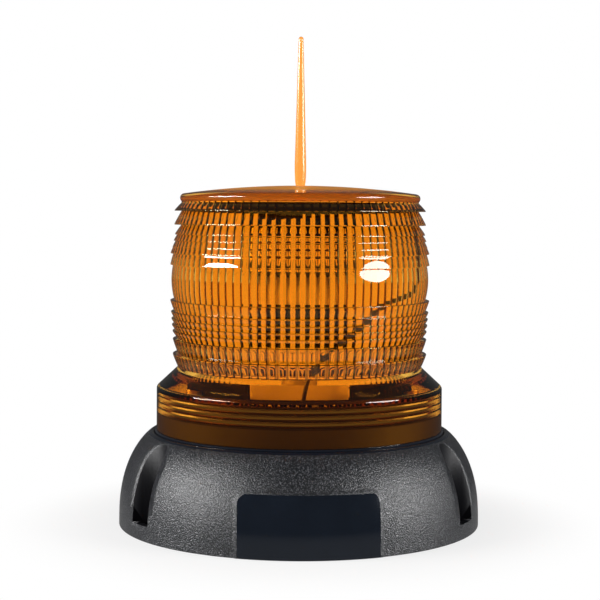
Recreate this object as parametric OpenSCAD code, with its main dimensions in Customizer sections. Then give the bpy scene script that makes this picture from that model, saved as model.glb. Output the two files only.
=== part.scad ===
// Solar warning light: a black domed base, an amber fresnel lens screwed onto its neck, and a bird spike.
// Millimetres. The origin is the middle of the base's underside, +Z is up and the front faces -Y.

/* [Base] */
// Outside diameter of the skirt
base_d = 150; // [146:0.5:160]
// Height of the skirt's top lip
base_h = 38; // [36:0.5:44]
// Wall of the base moulding
base_wall = 3; // [2.5:0.1:3.4]
// Width of the lip round the seal
lip_w = 0.9; // [0.7:0.1:1.4]
// Depth of the seat that the seal lies in, below the lip
seat_depth = 1.8; // [1.2:0.1:2.2]
// Height of the threaded neck above the seal's seat
neck_h = 19.6; // [19:0.1:19.8]
// Height of the well's floor
well_floor = 10; // [8:0.5:11]
// Thickness of the well's floor
floor_t = 2.5; // [2:0.1:3]
// Ribs between the skirt and the well
rib_count = 12; // [12:12:24]
// Thickness of a rib
rib_t = 2; // [1.6:0.1:2.4]

/* [Screw pockets] */
// Distance of the fixing screws from the outside of the skirt
screw_inset = 5; // [4.6:0.1:6]
// Diameter of a fixing hole
screw_hole_d = 4.5; // [4:0.1:5]
// Width of a pocket
pocket_w = 12.8; // [11:0.2:14]
// Height of a pocket's floor
pocket_floor = 6; // [4:0.5:8]

/* [Front pad] */
// Width of the smooth pad
pad_w = 55.8; // [40:0.2:60]
// Height of the smooth pad
pad_h = 14; // [10:0.5:18]
// How far the pad stands proud of the skirt
pad_proud = 0.4; // [0.2:0.1:0.6]
// Corner radius of the pad
pad_corner = 5; // [2:0.5:6]

/* [Lens] */
// Outside diameter of the lens flange
flange_d = 119.2; // [118:0.2:120]
// Height of the straight flange
flange_h = 17.8; // [17.4:0.1:18.6]
// Wall of the flange behind the thread
flange_wall = 2.1; // [1.8:0.1:2.4]
// Height of the chamfer above the flange
chamfer_h = 8.2; // [7.8:0.1:9]
// Largest diameter over the prisms
prism_d = 108.2; // [107.6:0.2:109]
// Height of the focus above the lens's foot
focus_h = 62.8; // [62:0.1:64]
// Refractive index that the prisms are cut for
lens_index = 1.585; // [1.49:0.005:1.6]
// Flutes inside the lens
flute_count = 90; // [60:6:96]
// Diameter over the valleys between the flutes
flute_valley_d = 95.8; // [95:0.2:96.4]
// Radius of one flute
flute_r = 2.8; // [2.2:0.1:4]
// Diameter of the dome's rim
rim_d = 100.3; // [99.7:0.2:100.9]
// Rise of the dome over its rim
dome_rise = 3.4; // [3:0.1:5]
// Wall of the dome
dome_wall = 2.5; // [2.2:0.1:2.8]

/* [Thread and seal] */
// Rings of the thread
thread_rings = 4; // [3:1:5]
// Pitch of the rings
thread_pitch = 2.45; // [2.2:0.05:2.6]
// Depth of the thread
thread_depth = 0.8; // [0.6:0.1:0.9]
// Thickness of the pressed seal
seal_t = 2.5; // [2:0.1:3]
// How far the seal shows past the flange
seal_proud = 0.7; // [0.4:0.1:0.9]

/* [Bird spike] */
// Length above the dome
spike_h = 62.2; // [40:0.1:80]
// Diameter where it meets the dome
spike_foot_d = 3.9; // [3.4:0.1:4.4]
// Largest diameter
spike_d = 4.8; // [4.5:0.1:5.5]
// Diameter near the tip
spike_tip_d = 2; // [1.6:0.1:3]
// Diameter of the peg in the dome
peg_d = 3; // [2.4:0.1:3.2]

/* [Solar panel] */
// Outside diameter of the tray
tray_d = 89.2; // [86:0.2:90.6]
// Height of the tray
tray_h = 6.8; // [5.6:0.1:8]
// Thickness of the silicone bond to the dome
bond_t = 1; // [0.6:0.1:1.4]
// Solar cell strips
cell_count = 8; // [6:1:10]
// Gap between two strips
cell_gap = 1; // [0.6:0.1:2]
// Thickness of the panel's board
panel_board_t = 1.2; // [1:0.1:1.6]

/* [Light module] */
// LEDs round the module
led_count = 12; // [8:1:12]
// Diameter of the hub and of its cap across the flats
hub_d = 20.4; // [19.8:0.2:23]
// Height of the hub
hub_h = 5.4; // [4.6:0.1:7]
// Height of the spacer between hub and board
spacer_h = 3; // [2.4:0.1:3.6]
// Diameter of the round board on the hub
led_board_d = 22; // [21:0.2:24]
// Height of the cap over the LEDs
cap_h = 7.6; // [6:0.1:9]
// Diameter of the mast
mast_d = 15; // [14.4:0.2:16.4]
// Wall of the mast
mast_wall = 1.5; // [1.2:0.1:1.8]

/* [Deck and control board] */
// Thickness of the deck plate
deck_t = 2; // [1.6:0.1:3]
// Diameter of the control board
control_d = 84; // [80:0.5:86]
// Drop from the deck to the control board
standoff_h = 7.2; // [7:0.1:10]
// Pitch circle of the standoffs
standoff_pcd = 72; // [66:0.5:74]
// Thickness of a circuit board
board_t = 1.6; // [1:0.1:2]

/* [Battery] */
// Diameter of a cell
cell_d = 14.2; // [13.8:0.1:14.4]
// Length of a cell
cell_l = 49.8; // [48:0.1:51]
// Cells side by side
battery_count = 3; // [2:1:3]
// Wall of the shrink sleeve
sleeve_t = 0.4; // [0.3:0.1:0.6]
// Thickness of the foam pad under the pack
foam_t = 1.4; // [1:0.1:2.5]

/* [Leads] */
// Diameter of the panel's lead
lead_d = 1.8; // [1.4:0.1:2]
// Diameter of the leads to the battery and the LEDs
wire_d = 1.4; // [1:0.1:1.6]

/* [Hidden] */
$fn = 96;

// Running clearance between fitted pieces
fit = 0.3;
// Overshoot of a cutting tool past the face it opens
over = 1;

// Radii down the joint between lens and base, from the flange inwards
base_r = base_d / 2;
screw_r = base_r - screw_inset;
flange_r = flange_d / 2;
thread_groove_r = flange_r - flange_wall;
lens_bore_r = thread_groove_r - thread_depth;
thread_ridge_r = thread_groove_r - fit;
neck_r = lens_bore_r - fit;
well_r = neck_r - base_wall;
seal_r = flange_r + seal_proud;
lip_gap = 0.5;
lip_r = seal_r + lip_gap + lip_w;

// Heights up the stack
foot_h = 2;
seat_z = base_h - seat_depth;
seal_top = seat_z + seal_t;
neck_top = seat_z + neck_h;
deck_z = neck_top - deck_t;
focus_z = seal_top + focus_h;
cavity_top = seat_z - base_wall;

// The skirt is a superellipse from the foot up to the lip
skirt_steps = 24;
skirt_power = 2.42;
skirt_round = 0.785;
function swell(u) = pow(max(0, 1 - pow(u, skirt_power)), skirt_round);
// Even steps of angle put more points where the skirt turns in
function climb(i) = sin(90 * i / skirt_steps);
function skirt_curve(low_r, high_r, low_z, high_z) = [for (i = [0:skirt_steps])
    [high_r + (low_r - high_r) * swell(climb(i)), low_z + (high_z - low_z) * climb(i)]];

// Screw pockets and the bosses behind them share three directions
pocket_count = 3;
pocket_turn = 60;
pocket_wall = 2.5;
function pocket_angle(i) = pocket_turn + 360 / pocket_count * i - 90;

// Bosses in the well that take the deck's screws
boss_r = 5;
boss_at = well_r - boss_r + 1.6;
deck_screw_d = 3;
deck_screw_l = 12;
screw_head_h = 2;
pilot_less = 0.4;

// Underside ribs
rib_foot = 0.8;

// Outer prisms, each as its edge's distance from the focus and how far its tip stays inside prism_d
prism_r = prism_d / 2;
upper_prisms = [[5.7, 0], [10.4, 0.1], [12.9, 0.9], [15.6, 1.4], [18.2, 1.9], [22.3, 1.6], [28, 1.7]];
upper_end = 31.5;
upper_root_least = 4.6;
lower_prisms = [[9, 0], [13.7, 0.3], [16.5, 0.5], [19.1, 0.7], [21.7, 1], [25.1, 1.1], [31.3, 1.1]];
lower_end = 36.8;
lower_root_least = 3.3;
// Tilt of a prism's slope that sends a ray from the focus out level
function slope(h) = let (s = sin(atan(h / prism_r))) s / (sqrt(pow(lens_index, 2) - s * s) - 1);
function prism_end(list, i, end) = i + 1 < len(list) ? list[i + 1][0] : end;
function prism_tip(list, i) = prism_r - list[i][1];
function prism_root(list, i, end, least) = let (far = prism_end(list, i, end), near = list[i][0])
    max(prism_r - least, prism_tip(list, i) - slope((near + far) / 2) * (far - near));
// A ring's outline: the tip and its narrow land at the edge near the focus, and the root at the far edge
tip_land = 0.45;
tip_tilt = 12;
function ring_points(list, i, end, least, side) = [
    [prism_tip(list, i), focus_z + side * list[i][0]],
    [prism_tip(list, i) - tip_land * tan(tip_tilt), focus_z + side * (list[i][0] + tip_land)],
    [prism_root(list, i, end, least), focus_z + side * prism_end(list, i, end)]];

// The smooth band between the two sets of prisms bulges as one arc
band_low_r = prism_r - 1.7;
band_high_r = prism_r - 1.1;
band_bulge = 0.9;
band_steps = 12;
function band_point(t) = [band_low_r + (band_high_r - band_low_r) * t + band_bulge * 4 * t * (1 - t),
    focus_z - lower_prisms[0][0] + (lower_prisms[0][0] + upper_prisms[0][0]) * t];

// Chamfer, dome and rim of the lens
chamfer_z = seal_top + flange_h;
lens_neck_z = chamfer_z + chamfer_h;
rim_round = 1.9;
rim_in = rim_d / 2 - rim_round;
rim_z = focus_z + upper_end + rim_round;
dome_r = (pow(rim_in, 2) + pow(dome_rise, 2)) / (2 * dome_rise) + rim_round;
dome_top = rim_z + rim_round + dome_rise;
dome_centre = dome_top - dome_r;
// The rim's arc runs from its root to where it meets the dome
rim_start = -45;
rim_end = atan2(rim_z - dome_centre, rim_in);
rim_steps = 8;
function dome_z(r, inset) = dome_centre + sqrt(pow(dome_r - inset, 2) - r * r);
dome_steps = 14;

// Cavity of the lens: fluted up to the ceiling's ring, then a dome inside the flutes
valley_r = flute_valley_d / 2;
half_flute = 180 / flute_count;
flute_at = valley_r * cos(half_flute) + sqrt(pow(flute_r, 2) - pow(valley_r * sin(half_flute), 2));
crest_r = flute_at - flute_r;
ceiling_r = crest_r - 1;
ceiling_z = dome_z(ceiling_r, dome_wall) - 0.4;
chamfer_in = 1.4;
bore_top = neck_top + 0.4;

// Spike's socket in the dome
socket_depth = 3;
socket_boss_r = 4;
socket_boss_h = 1.8;

// Solar panel, hung from the dome by its bond
tray_r = tray_d / 2;
tray_rim = 1.8;
tray_floor = 2.4;
bond_top = dome_z(tray_r, dome_wall) - 0.1;
tray_top = bond_top - bond_t;
tray_z = tray_top - tray_h;
panel_r = tray_r - tray_rim - fit;
panel_z = tray_z + tray_floor;
cell_t = 0.3;
ribbon_t = 0.15;
ribbon_w = 1.6;
cells_r = panel_r - 1.5;
strip_w = (2 * cells_r - (cell_count - 1) * cell_gap) / cell_count;

// Junction cap under the tray, at its front edge
junction_size = [19, 10, 2.6];
junction_at = [-7.7, -37.5];

// Light module at the focus: a hub, a spacer, the LEDs standing on the edge of their board, and a cap
led_board_z = focus_z - board_t;
spacer_z = led_board_z - spacer_h;
module_z = spacer_z - hub_h;
spacer_r = hub_d / 2 - 2.2;
led_size = [2.8, 1.2, 3.2];
led_r = hub_d / 2 - led_size[1];
core_r = led_r - 0.7;
cap_z = focus_z + led_size[2] + 0.2;
mast_r = mast_d / 2;
spigot_r = mast_r - mast_wall - 0.1;
spigot_wall = 1.2;
spigot_h = 8;
socket_h = 6;
socket_wall = 2.4;
mast_foot_z = neck_top;
led_screw_d = 2;
led_screw_at = 6.3;
led_screw_l = 10;
// The screws' heads lie this high over the board, in counterbores from the cap's top
led_head_z = cap_z + 1;

// Battery pack, upright in the well behind the front
cell_pitch = cell_d + 0.3;
pack_x = -3.5;
pack_gap = 3.6;
pack_y = -(mast_r + socket_wall + pack_gap + cell_d / 2 + sleeve_t);
pack_z = well_floor + foam_t;
pack_in_r = cell_pitch / 2;
pack_out_r = pack_in_r + sleeve_t;
pack_end = pack_x + battery_count * cell_pitch / 2 + sleeve_t;
link_t = 0.2;
link_w = 6;
lip_fold = 3;
button_r = 2.7;
button_h = 1;
cells_z = pack_z + sleeve_t + link_t + 0.1;
pack_top = cells_z + cell_l + link_t + 0.1 + sleeve_t;
cradle_h = 8;
cradle_t = 1.6;

// Control board, hung under the deck
standoff_r = 3;
standoff_turn = 45;
control_z = deck_z - standoff_h - board_t;
board_top = control_z + board_t;
board_screw_d = 2.5;
board_screw_l = 7;
coil_at = [-18, 14];
coil_r = 5;
coil_h = 4.6;
capacitor_at = [0, 26];
capacitor_r = 4;
capacitor_h = 6;
chip_size = [5, 4, 1.5];
chip_places = [[16, 12], [24, 12], [16, 22]];
panel_socket_size = [7, 5, 3.4];
panel_socket_at = [0, -38.6];
lead_entry = [-1, -40];
battery_socket_size = [7, 5, 4];
battery_socket_at = [29, 0];

// Routes of the leads, with points chosen by hand
panel_route = [
    [junction_at[0], junction_at[1] + junction_size[1] / 2, tray_z - 1.3],
    [junction_at[0], -28, tray_z - 1.3],
    [-5, -18, tray_z - 1.5],
    [4, -8, tray_z - 1.6],
    [16, -3.4, tray_z - 1.7],
    [28, -5, tray_z - 2],
    [37, -9.5, tray_z - 3.5],
    [42, -14, tray_z - 10],
    [43, -16, 108],
    [41, -18.6, 98.5],
    [35.5, -28, 95.8],
    [28, -35.4, 93],
    [21.8, -39.3, 87.5],
    [15, -42.4, 82],
    [8, -44.2, 75],
    [3.6, -44.8, 69],
    [0.6, -44.8, 63],
    [-0.6, -43.6, neck_top + 1.6],
    [-1, -41.6, deck_z - 0.4],
    [lead_entry[0], lead_entry[1], board_top + panel_socket_size[2] + 1.6],
    [lead_entry[0], lead_entry[1], board_top + panel_socket_size[2]]];
deck_lead_hole = [-1, -42.2];
deck_lead_hole_r = 3;
battery_route = [
    [pack_end, pack_y, pack_z + 11],
    [pack_end + 2, pack_y, pack_z + 11],
    [30, -18, pack_z + 12],
    [33, -10, pack_z + 17],
    [32, -3, control_z - 9],
    [29, 0, control_z - 4],
    [29, 0, control_z - 1.5],
    [29, 0, control_z]];
led_wire_at = [3, 2];
led_route = [
    [led_wire_at[0], led_wire_at[1], board_top],
    [led_wire_at[0], led_wire_at[1], led_board_z]];

function unit(v) = v / norm(v);
// Catmull-Rom point between b and c
function spline(a, b, c, d, t) = 0.5 * (2 * b + (c - a) * t + (2 * a - 5 * b + 4 * c - d) * t * t
    + (3 * b - a - 3 * c + d) * t * t * t);
function at(p, i) = p[max(0, min(len(p) - 1, i))];
function smooth(p, steps) = concat([for (i = [0:len(p) - 2], k = [0:steps - 1])
    spline(at(p, i - 1), p[i], p[i + 1], at(p, i + 2), k / steps)], [p[len(p) - 1]]);
// Directions along a smoothed route, square to its first and last straight at the ends
function tangents(p, route) = let (last = len(p) - 1, end = len(route) - 1) [for (i = [0:last])
    i == 0 ? unit(route[1] - route[0]) : i == last ? unit(route[end] - route[end - 1])
    : unit(p[i + 1] - p[i - 1])];
function side(n, t) = unit(n - t * (n * t));
// A side vector carried along the route without twist
function sides(t) = [for (i = 0, n = side([0.3, 1, 0.2], t[0]); i < len(t);
    i = i + 1, n = i < len(t) ? side(n, t[i]) : n) n];

module tube(route, d, steps) {
    corners = 8;
    path = smooth(route, steps);
    along = tangents(path, route);
    across = sides(along);
    rings = len(path);
    points = [for (i = [0:rings - 1], k = [0:corners - 1])
        path[i] + d / 2 * (cos(360 * k / corners) * across[i]
            + sin(360 * k / corners) * cross(along[i], across[i]))];
    walls = [for (i = [0:rings - 2], k = [0:corners - 1]) let (n = (k + 1) % corners)
        [i * corners + n, i * corners + k, (i + 1) * corners + k, (i + 1) * corners + n]];
    ends = [[for (k = [0:corners - 1]) k],
        [for (k = [corners - 1:-1:0]) (rings - 1) * corners + k]];
    polyhedron(points, concat(walls, ends));
}

// A bar with round ends, seen from above
module stadium(length, r) {
    square([length, 2 * r], center = true);
    for (x = [-1, 1]) translate([x * length / 2, 0]) circle(r = r);
}

module pan_screw(d, l) {
    cylinder(d = 2 * d, h = screw_head_h);
    translate([0, 0, -l]) cylinder(d = d, h = l + 0.01);
}

// Base

module skirt_solid() {
    rotate_extrude() polygon(concat([[0, 0], [base_r, 0]],
        skirt_curve(base_r, lip_r, foot_h, base_h), [[0, base_h]]));
}

module under_space() {
    rotate_extrude() polygon(concat([[neck_r, -over], [base_r - base_wall, -over]],
        skirt_curve(base_r - base_wall, neck_r, foot_h, cavity_top)));
}

module pocket_outline(grow) {
    r = pocket_w / 2 + grow;
    translate([screw_r, 0]) circle(r = r);
    translate([screw_r, -r]) square([base_r, 2 * r]);
}

module neck_outline() {
    ridge = thread_pitch / 4;
    square([neck_r, neck_h]);
    for (i = [0:thread_rings - 1]) translate([0, neck_h - ridge - 0.8 - thread_pitch * i])
        polygon([[neck_r - 1, -ridge * 1.6], [neck_r, -ridge * 1.6], [thread_ridge_r, -ridge * 0.6],
            [thread_ridge_r, ridge * 0.6], [neck_r, ridge * 1.6], [neck_r - 1, ridge * 1.6]]);
}

module front_pad() {
    intersection() {
        rotate_extrude() polygon(concat([[base_r - 1, 0], [base_r + pad_proud, 0]],
            [for (p = skirt_curve(base_r + pad_proud, lip_r + pad_proud, foot_h, base_h)) p],
            [[lip_r - 1, base_h], [base_r - 3, base_h / 2]]));
        rotate([90, 0, 0]) linear_extrude(height = base_d) {
            translate([-pad_w / 2, -over]) square([pad_w, pad_h - pad_corner + over]);
            translate([-pad_w / 2 + pad_corner, 0]) square([pad_w - 2 * pad_corner, pad_h]);
            for (x = [-1, 1]) translate([x * (pad_w / 2 - pad_corner), pad_h - pad_corner])
                circle(r = pad_corner);
        }
    }
}

module base_housing() color([0.10, 0.11, 0.12]) difference() {
    union() {
        skirt_solid();
        translate([0, 0, seat_z]) rotate_extrude() neck_outline();
        front_pad();
    }
    // Space under the skirt, less its ribs and the walls of the pockets
    difference() {
        under_space();
        for (i = [0:rib_count - 1]) rotate(360 / rib_count * (i + 0.5))
            translate([neck_r - over, -rib_t / 2, rib_foot]) cube([base_r, rib_t, base_h]);
        for (i = [0:pocket_count - 1]) rotate(pocket_angle(i))
            translate([0, 0, -2 * over]) linear_extrude(height = base_h + 2 * over)
                pocket_outline(pocket_wall);
    }
    // Seat of the seal, open round the neck
    translate([0, 0, seat_z]) difference() {
        cylinder(r = lip_r - lip_w, h = seat_depth + over);
        translate([0, 0, -over]) cylinder(r = neck_r, h = seat_depth + 3 * over);
    }
    // Well, less the deck's bosses and the battery's cradle
    translate([0, 0, well_floor]) difference() {
        cylinder(r = well_r, h = base_h + neck_h);
        for (i = [0:pocket_count - 1]) rotate(pocket_angle(i)) translate([boss_at, 0, -over])
            cylinder(r = boss_r, h = deck_z - well_floor + over);
        translate([pack_x, pack_y, -over]) linear_extrude(height = cradle_h + over) difference() {
            stadium((battery_count - 1) * cell_pitch, pack_out_r + fit + cradle_t);
            stadium((battery_count - 1) * cell_pitch, pack_out_r + fit);
            square([(battery_count - 1) * cell_pitch, 4 * pack_out_r], center = true);
        }
    }
    for (i = [0:pocket_count - 1]) rotate(pocket_angle(i)) {
        translate([boss_at, 0, deck_z - deck_screw_l])
            cylinder(d = deck_screw_d + 0.2, h = deck_screw_l + over);
        // Pocket and fixing hole
        translate([0, 0, pocket_floor]) linear_extrude(height = base_h) pocket_outline(0);
        translate([screw_r, 0, -over]) cylinder(d = screw_hole_d, h = base_h);
    }
    // Recess under the well's floor, with ribs of its own
    difference() {
        translate([0, 0, -over]) cylinder(r = well_r, h = well_floor - floor_t + over);
        for (i = [0:2]) rotate(60 * i) translate([-base_r, -rib_t / 2, rib_foot])
            cube([base_d, rib_t, base_h]);
        translate([0, 0, rib_foot]) cylinder(r = 10, h = base_h);
    }
}

module seal_ring() color([0.05, 0.05, 0.06]) rotate_extrude() {
    low = neck_r + fit;
    edge = 0.5;
    polygon([[low, seat_z], [seal_r - edge, seat_z], [seal_r, seat_z + edge], [seal_r, seal_top - edge],
        [seal_r - edge, seal_top], [low, seal_top]]);
}

// Lens

function upper_outline() = [for (i = [0:len(upper_prisms) - 1])
    each ring_points(upper_prisms, i, upper_end, upper_root_least, 1)];
function lower_outline() = [for (i = [len(lower_prisms) - 1:-1:0]) let
    (p = ring_points(lower_prisms, i, lower_end, lower_root_least, -1)) each [p[2], p[1], p[0]]];
function rim_arc() = [for (i = [0:rim_steps]) let (a = rim_start + (rim_end - rim_start) * i / rim_steps)
    [rim_in + rim_round * cos(a), rim_z + rim_round * sin(a)]];
function dome_arc() = [for (i = [dome_steps - 1:-1:0])
    let (r = (rim_in + rim_round * cos(rim_end)) * i / dome_steps) [r, dome_z(r, 0)]];

module lens_outline() {
    polygon(concat([[0, seal_top], [flange_r, seal_top], [flange_r, chamfer_z]], lower_outline(),
        [for (i = [0:band_steps]) band_point(i / band_steps)], upper_outline(), rim_arc(), dome_arc()));
}

module bore_outline() {
    ridge = thread_pitch / 4 * 1.6;
    square([lens_bore_r, bore_top - seal_top]);
    for (i = [0:thread_rings - 1])
        translate([0, neck_top - seal_top - thread_pitch / 4 - 0.8 - thread_pitch * i])
            polygon([[lens_bore_r - 1, -ridge - fit], [lens_bore_r, -ridge - fit],
                [thread_groove_r, -ridge / 2 - fit / 2], [thread_groove_r, ridge / 2 + fit / 2],
                [lens_bore_r, ridge + fit], [lens_bore_r - 1, ridge + fit]]);
}

module lens_space() {
    translate([0, 0, seal_top]) rotate_extrude() bore_outline();
    translate([0, 0, seal_top - over]) cylinder(r = lens_bore_r, h = over + 0.5);
    // Inside of the chamfer
    translate([0, 0, bore_top])
        cylinder(r1 = lens_bore_r, r2 = valley_r + 0.3, h = lens_neck_z - chamfer_in - bore_top);
    // Fluted bore
    translate([0, 0, lens_neck_z - chamfer_in])
        linear_extrude(height = ceiling_z - lens_neck_z + chamfer_in) difference() {
            circle(r = valley_r + 0.3);
            for (i = [0:flute_count - 1]) rotate(2 * half_flute * (i + 0.5)) translate([flute_at, 0])
                circle(r = flute_r, $fn = 48);
        }
    // Dome over the fluted bore
    rotate_extrude() polygon(concat([[0, ceiling_z - over], [ceiling_r, ceiling_z - over]],
        [for (i = [dome_steps:-1:0]) let (r = ceiling_r * i / dome_steps) [r, dome_z(r, dome_wall)]]));
}

module lens() color([1, 0.45, 0.02, 0.7]) difference() {
    rotate_extrude() lens_outline();
    difference() {
        lens_space();
        translate([0, 0, dome_top - dome_wall - socket_boss_h])
            cylinder(r = socket_boss_r, h = dome_wall + socket_boss_h);
    }
    translate([0, 0, dome_top - socket_depth]) cylinder(d = peg_d + 0.2, h = socket_depth + over);
}

module bird_spike() color([1, 0.5, 0.1, 0.8]) rotate_extrude() {
    foot = dome_top;
    swell_h = 6;
    tip_r = spike_tip_d / 2;
    difference() {
        union() {
            polygon([[0, foot - socket_depth + 0.2], [peg_d / 2, foot - socket_depth + 0.2],
                [peg_d / 2, foot], [spike_foot_d / 2, foot + 0.05],
                [spike_foot_d / 2 + 0.3, foot + 2], [spike_d / 2, foot + swell_h],
                [spike_d / 2, foot + swell_h + 3], [tip_r, foot + spike_h - tip_r],
                [0, foot + spike_h - tip_r]]);
            translate([0, foot + spike_h - tip_r]) circle(r = tip_r);
        }
        translate([-spike_d, 0]) square([spike_d, foot + spike_h + over]);
    }
}

// Solar panel under the dome

module panel_tray() color([0.08, 0.08, 0.09]) difference() {
    translate([0, 0, tray_z]) cylinder(r = tray_r, h = tray_h);
    translate([0, 0, panel_z]) cylinder(r = tray_r - tray_rim, h = tray_h);
}

module panel_board() color([0.12, 0.13, 0.16])
    translate([0, 0, panel_z]) cylinder(r = panel_r, h = panel_board_t);

module solar_cells() color([0.05, 0.07, 0.16]) intersection() {
    translate([0, 0, panel_z + panel_board_t]) cylinder(r = cells_r, h = cell_t);
    for (i = [0:cell_count - 1])
        translate([-cells_r + i * (strip_w + cell_gap), -cells_r - over, panel_z + panel_board_t - over])
            cube([strip_w, 2 * cells_r + 2 * over, cell_t + 2 * over]);
}

module cell_ribbons() color([0.75, 0.75, 0.78])
    for (i = [1:cell_count - 2], y = [-1, 1])
        translate([-cells_r + i * (strip_w + cell_gap) + strip_w / 2 - ribbon_w / 2,
            y * cells_r * 0.3 - cells_r * 0.2, panel_z + panel_board_t + cell_t])
            cube([ribbon_w, cells_r * 0.4, ribbon_t]);

module panel_bond() color([0.85, 0.85, 0.8, 0.8]) rotate_extrude() {
    low = tray_r - tray_rim;
    polygon([[low, tray_top], [tray_r, tray_top], [tray_r, bond_top],
        [low, dome_z(low, dome_wall) - 0.1]]);
}

module junction_cap() color([0.06, 0.06, 0.07])
    translate([junction_at[0], junction_at[1], tray_z - junction_size[2]])
        linear_extrude(height = junction_size[2])
            stadium(junction_size[0] - junction_size[1], junction_size[1] / 2);

// Light module and its mast

module mast() color([0.85, 0.84, 0.8]) difference() {
    translate([0, 0, mast_foot_z + fit]) cylinder(r = mast_r, h = module_z - mast_foot_z - fit);
    translate([0, 0, mast_foot_z]) cylinder(r = mast_r - mast_wall, h = module_z - mast_foot_z + over);
}

module twelve_sided(d, h) {
    rotate(180 / led_count) cylinder(d = d / cos(180 / led_count), h = h, $fn = led_count);
}

// Both screws of the light module, as cylinders from one height up
module led_screw_holes(d, z, h) {
    for (x = [-1, 1]) translate([x * led_screw_at, 0, z]) cylinder(d = d, h = h);
}

module led_hub() color([0.07, 0.07, 0.08]) difference() {
    union() {
        translate([0, 0, module_z]) twelve_sided(hub_d, hub_h);
        translate([0, 0, module_z - spigot_h]) cylinder(r = spigot_r, h = spigot_h + over);
    }
    translate([0, 0, module_z - spigot_h - over])
        cylinder(r = spigot_r - spigot_wall, h = spigot_h);
    translate([led_wire_at[0], led_wire_at[1], module_z - 2 * over])
        cylinder(d = wire_d + 0.8, h = hub_h + 3 * over);
    led_screw_holes(led_screw_d + 0.2, led_head_z - led_screw_l - 0.4, led_screw_l);
}

module led_spacer() color([0.85, 0.84, 0.8]) difference() {
    translate([0, 0, spacer_z]) cylinder(r = spacer_r, h = spacer_h);
    translate([led_wire_at[0], led_wire_at[1], spacer_z - over])
        cylinder(d = wire_d + 0.8, h = spacer_h + 2 * over);
    led_screw_holes(led_screw_d + 0.2, spacer_z - over, spacer_h + 2 * over);
}

module led_board() color([0.06, 0.08, 0.07]) difference() {
    translate([0, 0, led_board_z]) cylinder(d = led_board_d, h = board_t);
    led_screw_holes(led_screw_d + 0.4, led_board_z - over, board_t + 2 * over);
}

module led_emitters() color([0.95, 0.85, 0.4])
    for (i = [0:led_count - 1]) rotate(360 / led_count * i)
        translate([led_r, -led_size[0] / 2, focus_z]) cube([led_size[1], led_size[0], led_size[2]]);

module led_cap() color([0.07, 0.07, 0.08]) difference() {
    union() {
        translate([0, 0, cap_z]) twelve_sided(hub_d, cap_h);
        translate([0, 0, focus_z]) cylinder(r = core_r, h = cap_z - focus_z + over);
    }
    led_screw_holes(led_screw_d + 0.4, focus_z - over, cap_h);
    led_screw_holes(2 * led_screw_d + 0.4, led_head_z, cap_h);
}

module led_screws() color([0.6, 0.6, 0.62])
    for (x = [-1, 1]) translate([x * led_screw_at, 0, led_head_z]) pan_screw(led_screw_d, led_screw_l);

// Deck plate and control board

module pack_opening(gap) {
    stadium((battery_count - 1) * cell_pitch, pack_out_r + gap);
}

module deck_plate() color([0.07, 0.07, 0.08]) difference() {
    union() {
        translate([0, 0, deck_z]) cylinder(r = well_r - fit, h = deck_t);
        translate([0, 0, neck_top - over]) cylinder(r = mast_r + fit / 3 + socket_wall, h = socket_h + over);
        for (i = [0:2]) rotate(120 * i + standoff_turn) translate([standoff_pcd / 2, 0, board_top])
            cylinder(r = standoff_r, h = standoff_h + over);
    }
    translate([0, 0, neck_top]) cylinder(r = mast_r + fit / 3, h = socket_h + over);
    translate([0, 0, deck_z - over]) cylinder(r = mast_r - mast_wall, h = deck_t + 2 * over);
    translate([pack_x, pack_y, deck_z - over]) linear_extrude(height = deck_t + 2 * over) pack_opening(fit);
    for (i = [0:pocket_count - 1]) rotate(pocket_angle(i)) translate([boss_at, 0, deck_z - over])
        cylinder(d = deck_screw_d + 0.4, h = deck_t + 2 * over);
    for (i = [0:2]) rotate(120 * i + standoff_turn) translate([standoff_pcd / 2, 0, board_top - over])
        cylinder(d = board_screw_d - pilot_less + 0.6, h = board_screw_l + over - board_t);
    translate([deck_lead_hole[0], deck_lead_hole[1], deck_z - over])
        cylinder(r = deck_lead_hole_r, h = deck_t + 2 * over);
}

module deck_screws() color([0.6, 0.6, 0.62])
    for (i = [0:pocket_count - 1]) rotate(pocket_angle(i)) translate([boss_at, 0, neck_top])
        pan_screw(deck_screw_d, deck_screw_l - 1);

module control_board() color([0.05, 0.25, 0.12]) difference() {
    translate([0, 0, control_z]) cylinder(d = control_d, h = board_t);
    translate([pack_x, pack_y, control_z - over]) linear_extrude(height = board_t + 2 * over)
        pack_opening(fit);
    for (i = [0:2]) rotate(120 * i + standoff_turn) translate([standoff_pcd / 2, 0, control_z - over])
        cylinder(d = board_screw_d + 0.4, h = board_t + 2 * over);
}

module board_screws() color([0.6, 0.6, 0.62])
    for (i = [0:2]) rotate(120 * i + standoff_turn) translate([standoff_pcd / 2, 0, control_z])
        mirror([0, 0, 1]) pan_screw(board_screw_d, board_screw_l - 1);

module driver_coil() color([0.3, 0.3, 0.32])
    translate([coil_at[0], coil_at[1], board_top]) rotate_extrude()
        polygon([[0, 0], [coil_r, 0], [coil_r, 1], [coil_r - 1, 1.6], [coil_r - 1, coil_h - 1.6],
            [coil_r, coil_h - 1], [coil_r, coil_h], [0, coil_h]]);

module storage_capacitor() color([0.15, 0.15, 0.3])
    translate([capacitor_at[0], capacitor_at[1], board_top]) rotate_extrude()
        polygon([[0, 0], [capacitor_r, 0], [capacitor_r, 0.8], [capacitor_r - 0.3, 1.1],
            [capacitor_r, 1.4], [capacitor_r, capacitor_h - 0.4], [capacitor_r - 0.4, capacitor_h],
            [0, capacitor_h]]);

module driver_chips() color([0.05, 0.05, 0.05])
    for (p = chip_places) translate([p[0], p[1], board_top + chip_size[2] / 2])
        cube(chip_size, center = true);

module socket_block(size) {
    translate([0, 0, size[2] / 2]) cube(size, center = true);
}

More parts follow.
